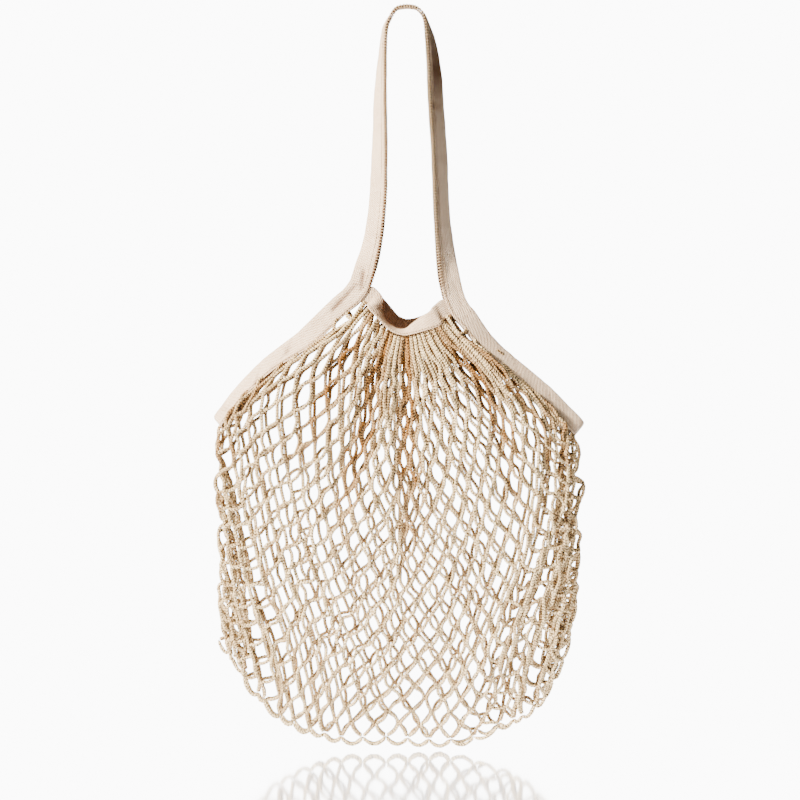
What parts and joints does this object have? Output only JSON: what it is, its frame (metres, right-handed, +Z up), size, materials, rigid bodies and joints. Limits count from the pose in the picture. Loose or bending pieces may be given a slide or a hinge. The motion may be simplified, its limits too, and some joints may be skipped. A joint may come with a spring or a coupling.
{
  "type": "string shopping bag",
  "caption": "Empty knitted string shopping bag with a gathered mouth, taped side slits and one long shoulder strap, hanging from the strap.",
  "frame": {"origin": "underside of the strap's highest point, where the bag hangs", "axes": "+Z up, the front of the bag faces -Y, +X to the right as seen from the front"},
  "size_m": [0.3881, 0.0726, 0.77],
  "materials": {
    "net_cord": "matt undyed cotton cord",
    "tape": "matt undyed cotton twill tape",
    "band": "matt undyed cotton tape"
  },
  "bodies": {
    "root": {"net_body": "net_cord", "front_tape": "tape", "back_tape": "tape", "front_mouth_band": "band", "back_mouth_band": "band"}
  },
  "joints": []
}
